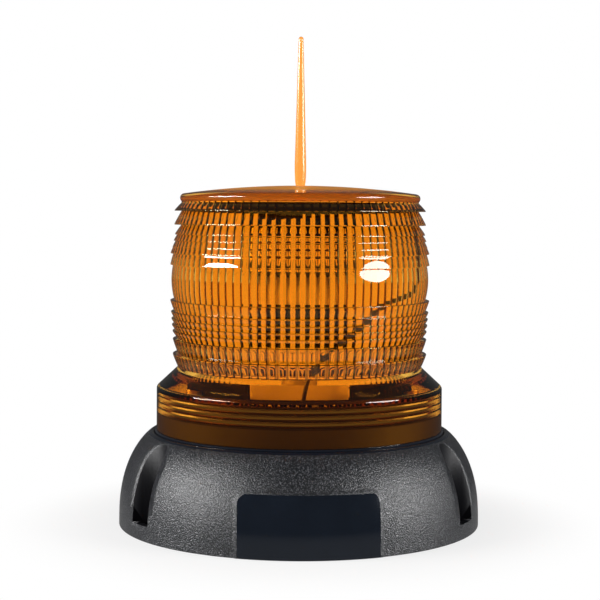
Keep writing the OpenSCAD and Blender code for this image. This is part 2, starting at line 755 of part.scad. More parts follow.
module panel_socket() color([0.9, 0.9, 0.85])
    translate([panel_socket_at[0], panel_socket_at[1], board_top]) socket_block(panel_socket_size);

module battery_socket() color([0.9, 0.9, 0.85])
    translate([battery_socket_at[0], battery_socket_at[1], board_top]) socket_block(battery_socket_size);

// Battery pack

module battery_cell() {
    cylinder(d = cell_d, h = cell_l - button_h);
    cylinder(r = button_r, h = cell_l);
}

module battery_cells() color([0.2, 0.5, 0.3])
    for (i = [0:battery_count - 1])
        translate([pack_x + (i - (battery_count - 1) / 2) * cell_pitch, pack_y, cells_z])
            translate([0, 0, i % 2 == 0 ? 0 : cell_l]) mirror([0, 0, i % 2]) battery_cell();

module battery_links() color([0.75, 0.75, 0.75])
    for (i = [0:battery_count - 2])
        translate([pack_x + (i - (battery_count - 2) / 2) * cell_pitch, pack_y,
            i % 2 == 0 ? cells_z + cell_l + link_t / 2 : cells_z - link_t / 2])
            cube([cell_pitch + link_w, link_w, link_t], center = true);

module battery_sleeve() color([0.9, 0.88, 0.75]) translate([pack_x, pack_y, pack_z])
    difference() {
        run = (battery_count - 1) * cell_pitch;
        linear_extrude(height = pack_top - pack_z) stadium(run, pack_out_r);
        translate([0, 0, sleeve_t]) linear_extrude(height = pack_top - pack_z - 2 * sleeve_t)
            stadium(run, pack_in_r);
        translate([0, 0, -over]) linear_extrude(height = pack_top - pack_z + 2 * over)
            stadium(run, pack_in_r - lip_fold);
    }

module battery_pad() color([0.2, 0.2, 0.22])
    translate([pack_x, pack_y, well_floor]) linear_extrude(height = foam_t)
        stadium((battery_count - 1) * cell_pitch, pack_out_r - 0.5);

// Leads

module panel_lead() color([0.05, 0.05, 0.05]) tube(panel_route, lead_d, 4);

module battery_lead() color([0.6, 0.05, 0.05]) tube(battery_route, wire_d, 4);

module led_lead() color([0.05, 0.05, 0.05]) tube(led_route, wire_d, 16);

base_housing();
seal_ring();
lens();
bird_spike();
panel_tray();
panel_board();
solar_cells();
cell_ribbons();
panel_bond();
junction_cap();
mast();
led_hub();
led_board();
led_emitters();
led_cap();
led_spacer();
led_screws();
deck_plate();
deck_screws();
control_board();
board_screws();
driver_coil();
storage_capacitor();
driver_chips();
panel_socket();
battery_socket();
battery_cells();
battery_links();
battery_sleeve();
battery_pad();
panel_lead();
battery_lead();
led_lead();
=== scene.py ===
import math

import bpy
import bmesh
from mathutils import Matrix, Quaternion, Vector


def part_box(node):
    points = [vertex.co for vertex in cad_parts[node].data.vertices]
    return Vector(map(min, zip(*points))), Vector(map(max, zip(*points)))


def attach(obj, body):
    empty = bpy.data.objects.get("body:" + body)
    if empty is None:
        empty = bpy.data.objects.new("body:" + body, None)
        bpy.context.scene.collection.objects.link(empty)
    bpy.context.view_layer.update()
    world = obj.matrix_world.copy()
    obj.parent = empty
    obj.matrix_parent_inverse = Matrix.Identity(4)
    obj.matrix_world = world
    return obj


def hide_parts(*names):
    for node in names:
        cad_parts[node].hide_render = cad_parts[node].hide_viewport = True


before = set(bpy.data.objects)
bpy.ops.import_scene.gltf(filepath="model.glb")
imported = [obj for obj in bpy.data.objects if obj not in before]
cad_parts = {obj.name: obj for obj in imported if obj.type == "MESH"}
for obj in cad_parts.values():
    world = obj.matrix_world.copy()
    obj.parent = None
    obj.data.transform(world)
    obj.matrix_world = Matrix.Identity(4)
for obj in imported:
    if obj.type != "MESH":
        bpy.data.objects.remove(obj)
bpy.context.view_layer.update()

MM = 0.001

# Camera: the photograph's angle, with the object's front turned a little to the right
FOCAL_PX = 1481.7
FRAME_PX = 600
SENSOR_MM = 36.0
CAMERA_DISTANCE = 620.6 * MM
CAMERA_HEIGHT = 129.7 * MM
CAMERA_PITCH = math.radians(1.59)
CAMERA_TURN = math.radians(-3.2)
CAMERA_ROLL = math.radians(0.3)
CAMERA_SHIFT = -0.08

# Oval lamps that face a point on the object's axis: azimuth and elevation in degrees, width and height in
# metres, power in watts and roll in degrees
LAMP_DISTANCE = 1.1
LAMP_TARGET = Vector((0, 0, 0.08))
LAMPS = {
    "left_box": (-77, 16.5, 0.80, 0.13, 12.0, 8),
    "right_box": (66, 12.5, 0.62, 0.42, 10.0, 0),
}

# Light of the room. Gloss and glass see it run, along Y, from a dimmer front to a white sweep at the back,
# and past a number of surfaces glass sees a dim amber instead, a painted shade that darkens the lines between
# the flutes
WHITE = (1, 1, 1, 1)
ROOM_LIGHT = 0.35
GLOSS_SPAN = (-0.3, 0.6)
GLOSS_ENDS = (0.06, 0.08)
THROUGH_SPAN = (-0.2, 0.35)
THROUGH_ENDS = (0.6, 1.0)
DEEP_PAINTED_SHADE = (0.28, 0.08, 0.01, 1)
CLEAR_DEPTH = 5.5

# Floor, in metres, with how white it is near the object and away from it, what a mirror image shows of it,
# and what glass shows of it from the front to the back
FLOOR_SIZE = 6
FLOOR_DROP = 0.0002
FLOOR_GREY = (0.85, 0.85, 0.85, 1)
FLOOR_WHITE_SPAN = (0.075, 0.13)
FLOOR_WHITE_ENDS = (0.72, 1.0)
FLOOR_GLOSS_SPAN = (0.08, 0.25)
FLOOR_GLOSS_ENDS = (0.3, 0.05)
FLOOR_THROUGH_SPAN = (0.1, 0.22)
FLOOR_THROUGH_ENDS = (0.1, 1.0)

# Amber plastic, as white light shows through one wall, and how rough and how clear it is
AMBER = (1.0, 0.53, 0.075, 1)
LENS_ROUGH = 0.01
THICK_AMBER = (1.0, 0.4, 0.035, 1)
CLEAR_ROUGH = 0.02
CLOUDY_AMBER = (1.0, 0.4, 0.03, 1)
DOME_ROUGH = 0.4
DOME_CLEAR = 0.35
DOME_CLEARS = (34, 47)
SPIKE_AMBER = (1.0, 0.45, 0.08, 1)
SPIKE_ROUGH = 0.15
SPIKE_CLEAR = 0.75
# Dark sheet on the lower bore: the black neck seen through the amber, partly its own colour and partly
# painted shade
NECK_AND_SHADE_COLOUR = (0.022, 0.012, 0.009, 1)
NECK_AND_SHADE_ROUGH = 0.35

# Plain moulded surfaces: size and depth of the grain, and the cloudy variation of the colour
GRAIN_DETAIL = 2.0
PLAIN_GRAIN = 900
PLAIN_STRENGTH = 0.2
PLAIN_DEPTH = 0.2 * MM
PLAIN_SPECULAR = 0.5
CLOUD_SCALE = 60
CLOUD_SPREAD = 0.12
CLOUD_SPAN = (0.3, 0.7)
BLACK = (0.008, 0.008, 0.009, 1)
BLACK_ROUGH = 0.85
STEEL = (0.6, 0.6, 0.62, 1)

# Finish, colour, roughness and what else departs from a plain plastic, with the nodes that have it
FINISHES = (
    ("black_moulding", BLACK, BLACK_ROUGH, {"specular": 0.0},
     ("panel_tray", "junction_cap", "led_hub", "led_cap", "deck_plate", "driver_chips")),
    ("seal_rubber", (0.008, 0.01, 0.016, 1), 0.15, {"grain": 400, "strength": 0.05}, ("seal_ring",)),
    ("panel_board", (0.05, 0.055, 0.07, 1), 0.3, {}, ("panel_board",)),
    ("solar_cells", (0.02, 0.03, 0.09, 1), 0.2, {}, ("solar_cells",)),
    ("cell_ribbons", (0.7, 0.7, 0.72, 1), 0.3, {"metallic": 1.0}, ("cell_ribbons",)),
    ("panel_bond", (0.7, 0.7, 0.66, 1), 0.5, {}, ("panel_bond",)),
    ("mast_plastic", (0.25, 0.22, 0.18, 1), 0.4, {}, ("mast",)),
    ("led_board", (0.02, 0.03, 0.025, 1), 0.3, {}, ("led_board",)),
    ("spacer_plastic", (0.35, 0.3, 0.24, 1), 0.5, {}, ("led_spacer",)),
    ("led_package", (0.9, 0.75, 0.25, 1), 0.3, {}, ("led_emitters",)),
    ("screw_steel", STEEL, 0.3, {"metallic": 1.0},
     ("led_screws", "deck_screws", "board_screws", "battery_links")),
    ("board_mask", (0.02, 0.18, 0.08, 1), 0.3, {}, ("control_board",)),
    ("coil_ferrite", (0.1, 0.1, 0.11, 1), 0.5, {}, ("driver_coil",)),
    ("capacitor_sleeve", (0.04, 0.04, 0.1, 1), 0.3, {}, ("storage_capacitor",)),
    ("socket_plastic", (0.8, 0.79, 0.74, 1), 0.4, {}, ("panel_socket", "battery_socket")),
    ("cell_wrap", (0.12, 0.35, 0.2, 1), 0.3, {}, ("battery_cells",)),
    ("sleeve_film", (0.5, 0.46, 0.36, 1), 0.6, {"specular": 0.1}, ("battery_sleeve",)),
    ("foam", (0.05, 0.05, 0.055, 1), 0.9, {}, ("battery_pad",)),
    ("lead_black", (0.012, 0.012, 0.012, 1), 0.4, {}, ("panel_lead", "led_lead")),
    ("lead_red", (0.45, 0.03, 0.02, 1), 0.4, {}, ("battery_lead",)),
)

# Base, in millimetres
BASE_R = 75
BASE_H = 38
LIP_R = 61.7
FOOT_H = 2
SKIRT_POWER = 2.42
SKIRT_ROUND = 0.785
POCKET_TURNS = (-30, 90, 210)
POCKET_W = 12.8
SCREW_R = 70
PAD_W = 55.8
PAD_TOP = 24.7
PAD_CORNER = 5
PAD_PROUD = 0.35
PAD_SUNK = 0.3
PAD_EDGE = 0.6
PAD_LEVEL = 0.99
PAD_COLUMNS = 150
PAD_ROWS = 66
MERGE = 0.001 * MM
BASE_SHARP = math.radians(30)

# Where the base's surfaces are told apart, in millimetres
ON_FACE = 0.1
ABOVE_FOOT = 0.01
LIP_DROP = 0.7
LIP_REACH = 1
POCKET_LOW = 1
POCKET_DROP = 0.5

# The base's finishes, in the order of its materials; the screw pockets' finish is painted shade, darker and
# duller than the skirt
GRAINED, POLISHED, NECK, POCKET_SHADE = range(4)
SKIRT_GRAIN = 1900
SKIRT_STRENGTH = 1.0
SKIRT_DEPTH = 0.3 * MM
SKIRT_EDGE = 0.5 * MM
SKIRT_DARK = (0.005, 0.006, 0.008, 1)
SKIRT_LIGHT = (0.1, 0.102, 0.112, 1)
SPECKLE_SPAN = (0.5, 0.68)
SKIRT_ROUGH = 0.29
SKIRT_SPECULAR = 0.8
PAD_COLOUR = (0.006, 0.009, 0.015, 1)
PAD_ROUGH = 0.1
PAD_GRAIN = 60
PAD_STRENGTH = 0.02
NECK_COLOUR = (0.012, 0.01, 0.01, 1)
NECK_ROUGH = 0.2
NECK_EDGE = 0.4 * MM
# Screw pockets' walls and floor: painted shade, darker and less glossy than the skirt's plastic
POCKET_SHADE_COLOUR = (0.006, 0.006, 0.008, 1)
POCKET_ROUGH = 0.42
POCKET_SHADE_SPECULAR = 0.25

# Lens, in millimetres, measured from the foot of its flange
FLANGE_R = 59.6
FLANGE_H = 17.8
FLANGE_ROUND = 1.6
FLANGE_STEPS = 5
CHAMFER_H = 8.2
FOCUS_H = 62.8
LENS_SHARP = math.radians(32)

# Prisms, each as its edge's distance from the focus and how far its tip stays inside PRISM_R
PRISM_INSET = 5.5
PRISM_R = FLANGE_R - PRISM_INSET
LENS_INDEX = 1.585
UPPER_PRISMS = [(5.7, 0), (10.4, 0.1), (12.9, 0.9), (15.6, 1.4), (18.2, 1.9), (22.3, 1.6), (28, 1.7)]
UPPER_END = 31.5
UPPER_ROOT_LEAST = 4.6
LOWER_PRISMS = [(9, 0), (13.7, 0.3), (16.5, 0.5), (19.1, 0.7), (21.7, 1), (25.1, 1.1), (31.3, 1.1)]
LOWER_END = 36.8
LOWER_ROOT_LEAST = 3.3
TIP_LAND = 0.45
TIP_TILT = math.radians(12)
TIP_ROUND = 0.12
TIP_STEPS = 2
TIP_ANGLE = math.radians(125)
ROUND_SHARE = 0.4
FACE_SWELL = 0.014
FACE_STEPS = 4

# Smooth band between the two sets of prisms: how far its foot stays inside PRISM_R, its lean and its bulge
BAND_INSET = 1.7
BAND_LEAN = 0.6
BAND_BULGE = 0.9
BAND_STEPS = 12

# Rim and dome of the lens
RIM_R = 50.15
RIM_ROUND = 1.9
RIM_START = math.radians(-45)
RIM_STEPS = 12
DOME_RISE = 3.4
DOME_WALL = 2.5
DOME_STEPS = 16
DOME_LEVEL = 0.985

# Inside of the lens: the threaded bore, the chamfer, the flutes and the ceiling
BORE_INSET = 2.9
NECK_RISE = 17.1
NECK_GAP = 0.4
THREAD_DEPTH = 0.8
THREAD_PITCH = 2.45
THREAD_RINGS = 4
THREAD_TOP = 1.4125
THREAD_FOOT = 1.2
THREAD_TIP = 0.5
CHAMFER_WALL = 1.4
FLUTES = 90
FLUTE_VALLEY_R = 47.9
FLUTE_R = 2.8
FLUTE_CUT = 0.3
FLUTE_ROWS = 6
STEPS_PER_FLUTE = 6
LENS_STEPS = FLUTES * STEPS_PER_FLUTE
CEILING_INSET = 1
CEILING_DROP = 0.4
CEILING_STEPS = 12

# The lens's finishes, in the order of its materials, and the part of the bore that the dark sheet covers: the
# black neck seen through the amber, partly its own colour and partly painted shade
CLEAR, CLOUDY, THICK, NECK_AND_SHADE = range(4)
NECK_AND_SHADE_H = 7
NECK_AND_SHADE_INSET = 2.5

# Raised edge of the deck plate, in millimetres, and the spans that it covers in degrees from the front
EDGE_FOOT = 55.8
EDGE_OUT = 46.8
EDGE_IN = 45.4
EDGE_TALL = 5.8
EDGE_SPANS = ((-100, -28), (22, 100))
EDGE_STEPS = 24


# Shader nodes

def fill(tree, node, values):
    """Give a node's inputs, by name or number, fixed values or the outputs of other nodes."""
    for name, value in values.items():
        if isinstance(value, bpy.types.NodeSocket):
            tree.links.new(value, node.inputs[name])
        else:
            node.inputs[name].default_value = value
    return node


def add_node(tree, kind, values=None, operation=None):
    """A node of a kind, with its inputs filled."""
    node = tree.nodes.new("ShaderNode" + kind)
    if operation:
        node.operation = operation
    return fill(tree, node, values or {})


def ramp(tree, value, span, ends):
    """A strength that runs smoothly from one end's to the other's over a span."""
    node = add_node(tree, "MapRange", {
        "Value": value, "From Min": span[0], "From Max": span[1], "To Min": ends[0], "To Max": ends[1]})
    node.interpolation_type = "SMOOTHSTEP"
    return node.outputs[0]


def colour_ramp(tree, value, span, colours):
    """A colour that runs from one to another over a span."""
    node = add_node(tree, "ValToRGB", {"Fac": value})
    for stop, position, colour in zip(node.color_ramp.elements, span, colours):
        stop.position = position
        stop.color = colour
    return node.outputs["Color"]


def length(tree, vector):
    """The length of a vector, as a node's output."""
    return add_node(tree, "VectorMath", {0: vector}, "LENGTH").outputs["Value"]


def along_y(tree, vector):
    """The part of a vector along Y, as a node's output."""
    return add_node(tree, "SeparateXYZ", {0: vector}).outputs["Y"]


def choose(tree, test, no, yes):
    """The shader yes where the test is 1, and no where it is 0."""
    return add_node(tree, "MixShader", {0: test, 1: no, 2: yes}).outputs[0]


def background(tree, strength, colour=WHITE):
    return add_node(tree, "Background", {"Color": colour, "Strength": strength}).outputs[0]


def glow(tree, strength):
    return add_node(tree, "Emission", {"Strength": strength}).outputs[0]


# Camera, lamps, world and floor

def set_camera():
    data = bpy.data.cameras.new("camera")
    data.sensor_width = SENSOR_MM
    data.lens = FOCAL_PX * SENSOR_MM / FRAME_PX
    data.shift_y = CAMERA_SHIFT
    camera = bpy.data.objects.new("camera", data)
    bpy.context.scene.collection.objects.link(camera)
    camera.location = (math.sin(CAMERA_TURN) * CAMERA_DISTANCE, -math.cos(CAMERA_TURN) * CAMERA_DISTANCE,
                       CAMERA_HEIGHT)
    aim = Vector((-math.sin(CAMERA_TURN) * math.cos(CAMERA_PITCH),
                  math.cos(CAMERA_TURN) * math.cos(CAMERA_PITCH), -math.sin(CAMERA_PITCH)))
    level = aim.to_track_quat("-Z", "Y")
    camera.rotation_mode = "QUATERNION"
    camera.rotation_quaternion = level @ Quaternion((0, 0, 1), CAMERA_ROLL)
    bpy.context.scene.camera = camera


def add_lamp(name, azimuth, elevation, width, height, power, roll):
    data = bpy.data.lights.new(name, "AREA")
    data.shape = "ELLIPSE"
    data.size = width
    data.size_y = height
    data.energy = power
    lamp = bpy.data.objects.new(name, data)
    lamp.visible_transmission = False
    bpy.context.scene.collection.objects.link(lamp)
    a, e = math.radians(azimuth), math.radians(elevation)
    lamp.location = LAMP_TARGET + LAMP_DISTANCE * Vector(
        (math.sin(a) * math.cos(e), -math.cos(a) * math.cos(e), math.sin(e)))
    facing = (LAMP_TARGET - lamp.location).to_track_quat("-Z", "Y")
    lamp.rotation_mode = "QUATERNION"
    lamp.rotation_quaternion = facing @ Quaternion((0, 0, 1), math.radians(roll))


def set_world():
    """White all round for the camera; a white sweep behind and a dimmer room in front for gloss and glass,
    and a painted dim amber shade for glass past a number of surfaces.
    """
    world = bpy.data.worlds.new("studio")
    bpy.context.scene.world = world
    world.use_nodes = True
    tree = world.node_tree
    tree.nodes.clear()
    path = add_node(tree, "LightPath").outputs
    back = along_y(tree, add_node(tree, "TexCoord").outputs["Generated"])
    deep = add_node(tree, "Math", {0: path["Ray Depth"], 1: CLEAR_DEPTH}, "GREATER_THAN").outputs[0]
    gloss = background(tree, ramp(tree, back, GLOSS_SPAN, GLOSS_ENDS))
    # Past CLEAR_DEPTH surfaces, glass sees a painted dim amber shade
    through = choose(tree, deep, background(tree, ramp(tree, back, THROUGH_SPAN, THROUGH_ENDS)),
                     background(tree, 1.0, DEEP_PAINTED_SHADE))
    shaded = choose(tree, path["Is Glossy Ray"], background(tree, ROOM_LIGHT), gloss)
    shaded = choose(tree, path["Is Transmission Ray"], shaded, through)
    shaded = choose(tree, path["Is Camera Ray"], shaded, background(tree, 1.0))
    add_node(tree, "OutputWorld", {0: shaded})


def add_floor():
    """White away from the object and shaded close by; dim in mirror images and through the glass's front."""
    bpy.ops.mesh.primitive_plane_add(size=FLOOR_SIZE)
    floor = bpy.context.object
    floor.name = "floor"
    floor.location.z = -FLOOR_DROP
    material = bpy.data.materials.new("floor")
    material.use_nodes = True
    tree = material.node_tree
    tree.nodes.clear()
    path = add_node(tree, "LightPath").outputs
    place = add_node(tree, "TexCoord").outputs["Object"]
    away = length(tree, place)
    white = ramp(tree, away, FLOOR_WHITE_SPAN, FLOOR_WHITE_ENDS)
    seen = add_node(tree, "Math", {0: path["Is Camera Ray"], 1: white}, "MULTIPLY").outputs[0]
    mirrored = glow(tree, ramp(tree, away, FLOOR_GLOSS_SPAN, FLOOR_GLOSS_ENDS))
    through = glow(tree, ramp(tree, along_y(tree, place), FLOOR_THROUGH_SPAN, FLOOR_THROUGH_ENDS))
    plain = add_node(tree, "BsdfDiffuse", {"Color": FLOOR_GREY}).outputs[0]
    shaded = choose(tree, path["Is Glossy Ray"], plain, mirrored)
    shaded = choose(tree, path["Is Transmission Ray"], shaded, through)
    shaded = choose(tree, seen, shaded, glow(tree, 1.0))
    add_node(tree, "OutputMaterial", {0: shaded})
    floor.data.materials.append(material)


# Materials

def new_material(name):
    material = bpy.data.materials.new(name)
    material.use_nodes = True
    return material, material.node_tree, material.node_tree.nodes["Principled BSDF"]


def grain_bump(tree, shader, grain, strength, depth, edge):
    """Fine moulded texture as bump over edges rounded by a radius; returns the place and the texture."""
    place = add_node(tree, "TexCoord").outputs["Object"]
    texture = add_node(tree, "TexNoise", {
        "Scale": grain, "Detail": GRAIN_DETAIL, "Vector": place}).outputs["Fac"]
    bump = add_node(tree, "Bump", {"Strength": strength, "Distance": depth, "Height": texture})
    if edge:
        fill(tree, bump, {"Normal": add_node(tree, "Bevel", {"Radius": edge}).outputs[0]})
    fill(tree, shader, {"Normal": bump.outputs["Normal"]})
    return place, texture


def plain_plastic(name, colour, roughness, grain=PLAIN_GRAIN, strength=PLAIN_STRENGTH, metallic=0.0,
                  specular=PLAIN_SPECULAR, edge=0.0):
    """A moulded surface of one colour, with a little cloudy variation."""
    material, tree, shader = new_material(name)
    fill(tree, shader, {"Specular IOR Level": specular, "Roughness": roughness, "Metallic": metallic})
    place, _ = grain_bump(tree, shader, grain, strength, PLAIN_DEPTH, edge)
    cloud = add_node(tree, "TexNoise", {"Scale": CLOUD_SCALE, "Vector": place}).outputs["Fac"]
    shades = [[min(1, c * share) for c in colour[:3]] + [1]
              for share in (1 - CLOUD_SPREAD, 1 + CLOUD_SPREAD)]
    fill(tree, shader, {"Base Color": colour_ramp(tree, cloud, CLOUD_SPAN, shades)})
    return material


def grained_plastic():
    """Black plastic with a speckled moulded grain and slightly rounded edges."""
    material, tree, shader = new_material("base_grain")
    _, grain = grain_bump(tree, shader, SKIRT_GRAIN, SKIRT_STRENGTH, SKIRT_DEPTH, SKIRT_EDGE)
    fill(tree, shader, {"Roughness": SKIRT_ROUGH, "Specular IOR Level": SKIRT_SPECULAR,
                        "Base Color": colour_ramp(tree, grain, SPECKLE_SPAN, (SKIRT_DARK, SKIRT_LIGHT))})
    return material


def amber_glass(name, colour, roughness, clear_share=1.0, clears=None):
    """Amber plastic, tinted where light passes its surface.

    It is cloudy where clear_share is less than 1; clears gives two radii between which it turns clear.
    """
    material, tree, shader = new_material(name)
    fill(tree, shader, {"Base Color": colour, "Transmission Weight": clear_share, "Roughness": roughness,
                        "IOR": LENS_INDEX})
    if clears:
        place = add_node(tree, "TexCoord").outputs["Object"]
        away = length(tree, add_node(tree, "VectorMath", {0: place, 1: (1, 1, 0)}, "MULTIPLY").outputs[0])
        span = [r * MM for r in clears]
        fill(tree, shader, {"Transmission Weight": ramp(tree, away, span, (clear_share, 1.0)),
                            "Roughness": ramp(tree, away, span, (roughness, CLEAR_ROUGH))})
    shadow = add_node(tree, "LightPath").outputs["Is Shadow Ray"]
    clear = add_node(tree, "BsdfTransparent", {"Color": [math.sqrt(c) for c in colour[:3]] + [1]}).outputs[0]
    fill(tree, tree.nodes["Material Output"], {"Surface": choose(tree, shadow, shader.outputs[0], clear)})
    return material


# Meshes

def new_piece(name, mesh, materials, sharp=None):
    """An object from a finished mesh, shaded smooth up to an angle where one is given."""
    data = bpy.data.meshes.new(name)
    mesh.to_mesh(data)
    mesh.free()
    if sharp:
        data.polygons.foreach_set("use_smooth", [True] * len(data.polygons))
        data.set_sharp_from_angle(angle=sharp)
    for material in materials:
        data.materials.append(material)
    piece = bpy.data.objects.new(name, data)
    bpy.context.scene.collection.objects.link(piece)
    return piece


def bridge(mesh, one, two):
    """Faces between two closed loops."""
    for k in range(len(one)):
        n = (k + 1) % len(one)
        mesh.faces.new((one[k], one[n], two[n], two[k]))


# Base

def skirt_radius(z):
    """Radius of the base's skirt at a height."""
    u = min(1, max(0, (z - FOOT_H) / (BASE_H - FOOT_H)))
    return LIP_R + (BASE_R - LIP_R) * (1 - u ** SKIRT_POWER) ** SKIRT_ROUND


def in_pocket(x, y, z):
    """Whether a point lies on a screw pocket's wall or floor."""
    if not POCKET_LOW < z < BASE_H - POCKET_DROP or math.hypot(x, y) > skirt_radius(z) - 2 * ON_FACE:
        return False
    for turn in POCKET_TURNS:
        a = math.radians(turn)
        along, side = x * math.cos(a) + y * math.sin(a), abs(y * math.cos(a) - x * math.sin(a))
        if side < POCKET_W / 2 + ON_FACE and along > SCREW_R - POCKET_W / 2 - ON_FACE:
            return True
    return False


def add_pad(mesh):
    """The polished pad: it follows the skirt, stands a little proud and rounds off into it."""
    half = PAD_W / 2
    grid = []
    for j in range(PAD_ROWS + 1):
        z = (PAD_TOP + PAD_EDGE) * j / PAD_ROWS
        line, level = [], []
        for i in range(PAD_COLUMNS + 1):
            x = (half + PAD_EDGE) * (2 * i / PAD_COLUMNS - 1)
            over_x, over_z = abs(x) - half + PAD_CORNER, z - PAD_TOP + PAD_CORNER
            outside = math.hypot(max(over_x, 0), max(over_z, 0)) + min(max(over_x, over_z), 0) - PAD_CORNER
            t = min(1, max(0, 0.5 - outside / (2 * PAD_EDGE)))
            level.append(t > PAD_LEVEL)
            r = skirt_radius(z) - PAD_SUNK + (PAD_PROUD + PAD_SUNK) * math.sin(math.pi / 2 * t)
            line.append(mesh.verts.new((x * MM, -math.sqrt(r * r - x * x) * MM, z * MM)))
        grid.append((line, level))
    for (low, low_level), (high, high_level) in zip(grid, grid[1:]):
        for i in range(PAD_COLUMNS):
            face = mesh.faces.new((low[i], low[i + 1], high[i + 1], high[i]))
            polished = low_level[i] and low_level[i + 1] and high_level[i]
            face.material_index = POLISHED if polished else GRAINED


def make_base():
    """The base's own mesh, with the tall pad in place of the low one, a finish for each surface and painted
    shade in the screw pockets.
    """
    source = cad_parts["base_housing"]
    mesh = bmesh.new()
    mesh.from_mesh(source.data)
    mesh.transform(source.matrix_world)
    bmesh.ops.remove_doubles(mesh, verts=mesh.verts, dist=MERGE)
    low_pad = []
    for face in mesh.faces:
        x, y, z = face.calc_center_median() / MM
        reach = math.hypot(x, y)
        on_front = y < 0 and ABOVE_FOOT < z < PAD_TOP and abs(x) < PAD_W / 2 + ON_FACE
        face.material_index = GRAINED
        if on_front and reach > skirt_radius(z) + ON_FACE:
            low_pad.append(face)
        elif z > BASE_H - LIP_DROP and reach < LIP_R + LIP_REACH:
            face.material_index = POLISHED if z < BASE_H + ON_FACE else NECK
        # Faces inside the screw pockets take the painted shade
        elif in_pocket(x, y, z):
            face.material_index = POCKET_SHADE
    bmesh.ops.delete(mesh, geom=low_pad, context="FACES")
    add_pad(mesh)
    base = new_piece("black_base", mesh, (
        grained_plastic(),
        plain_plastic("base_polish", PAD_COLOUR, PAD_ROUGH, PAD_GRAIN, PAD_STRENGTH),
        plain_plastic("base_neck", NECK_COLOUR, NECK_ROUGH, edge=NECK_EDGE),
        plain_plastic("base_pocket_shade", POCKET_SHADE_COLOUR, POCKET_ROUGH, specular=POCKET_SHADE_SPECULAR)), BASE_SHARP)
    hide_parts("base_housing")
    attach(base, "root")


# Lens

def prism_slope(height):
    """Tilt of a prism's slope that sends a ray from the focus out level."""
    s = math.sin(math.atan(height / PRISM_R))
    return s / (math.sqrt(LENS_INDEX ** 2 - s * s) - 1)


def prism_points(rings, end, root_least, side, focus):
    """Outline of one set of prisms, above or below the focus, with slightly swollen faces."""
    points = []
    for i, (near, inset) in enumerate(rings):
        far = rings[i + 1][0] if i + 1 < len(rings) else end
        tip = PRISM_R - inset
        root = max(PRISM_R - root_least, tip - prism_slope((near + far) / 2) * (far - near))
        start = Vector((tip - TIP_LAND * math.tan(TIP_TILT), near + TIP_LAND))
        face = Vector((root, far)) - start
        out = Vector((face.y, -face.x)) * FACE_SWELL
        points.append((tip, focus + side * near))
        for k in range(FACE_STEPS + 1):
            t = k / FACE_STEPS
            place = start + face * t + out * 4 * t * (1 - t)
            points.append((place.x, focus + side * place.y))
    return points


def round_corner(before, corner, after, radius, steps):
    """The points of a small arc in place of a sharp corner."""
    a, b, c = Vector(before), Vector(corner), Vector(after)
    u, v = (a - b).normalized(), (c - b).normalized()
    reach = min(radius / math.tan(u.angle(v) / 2), ROUND_SHARE * (a - b).length, ROUND_SHARE * (c - b).length)
    p, q = b + u * reach, b + v * reach
    points = []
    for k in range(steps + 1):
        t = k / steps
        points.append(tuple(p * (1 - t) ** 2 + b * 2 * t * (1 - t) + q * t ** 2))
    return points


def dome_height(dome, r, wall=0):
    """Height of the dome at a radius, or of its inside where a wall is given."""
    top, dome_r = dome
    return top - dome_r + math.sqrt((dome_r - wall) ** 2 - r * r)


def lens_outline(foot):
    """The dome, and the lens's outside from the flange's foot to the dome's middle, as (radius, height)."""
    focus = foot + FOCUS_H
    lower = prism_points(LOWER_PRISMS, LOWER_END, LOWER_ROOT_LEAST, -1, focus)
    upper = prism_points(UPPER_PRISMS, UPPER_END, UPPER_ROOT_LEAST, 1, focus)
    low_edge, high_edge = focus - LOWER_PRISMS[0][0], focus + UPPER_PRISMS[0][0]
    band = []
    for k in range(BAND_STEPS + 1):
        t = k / BAND_STEPS
        r = PRISM_R - BAND_INSET + BAND_LEAN * t + BAND_BULGE * 4 * t * (1 - t)
        band.append((r, low_edge + (high_edge - low_edge) * t))
    sharp = [(FLANGE_R, foot), (FLANGE_R, foot + FLANGE_H)] + lower[::-1] + band + upper
    outline = [sharp[0]]
    for i in range(1, len(sharp) - 1):
        a, b, c = Vector(sharp[i - 1]), Vector(sharp[i]), Vector(sharp[i + 1])
        if i == 1:
            outline += round_corner(a, b, c, FLANGE_ROUND, FLANGE_STEPS)
        elif (a - b).angle(c - b) < TIP_ANGLE:
            outline += round_corner(a, b, c, TIP_ROUND, TIP_STEPS)
        else:
            outline.append(sharp[i])
    outline.append(sharp[-1])
    rim_in, rim_z = RIM_R - RIM_ROUND, focus + UPPER_END + RIM_ROUND
    dome_r = (rim_in ** 2 + (DOME_RISE + RIM_ROUND) ** 2 - RIM_ROUND ** 2) / (2 * DOME_RISE)
    top = rim_z + RIM_ROUND + DOME_RISE
    rim_end = math.atan2(rim_z - top + dome_r, rim_in)
    for k in range(RIM_STEPS + 1):
        a = RIM_START + (rim_end - RIM_START) * k / RIM_STEPS
        outline.append((rim_in + RIM_ROUND * math.cos(a), rim_z + RIM_ROUND * math.sin(a)))
    dome, dome_edge = (top, dome_r), outline[-1][0]
    for k in range(1, DOME_STEPS + 1):
        r = dome_edge * (1 - k / DOME_STEPS)
        outline.append((r, dome_height(dome, r)))
    return dome, outline


def flute_radius(angle):
    """Inner radius at an angle from a flute's middle."""
    half = math.pi / FLUTES
    at = FLUTE_VALLEY_R * math.cos(half) + math.sqrt(FLUTE_R ** 2 - (FLUTE_VALLEY_R * math.sin(half)) ** 2)
    return at * math.cos(angle) - math.sqrt(FLUTE_R ** 2 - (at * math.sin(angle)) ** 2)


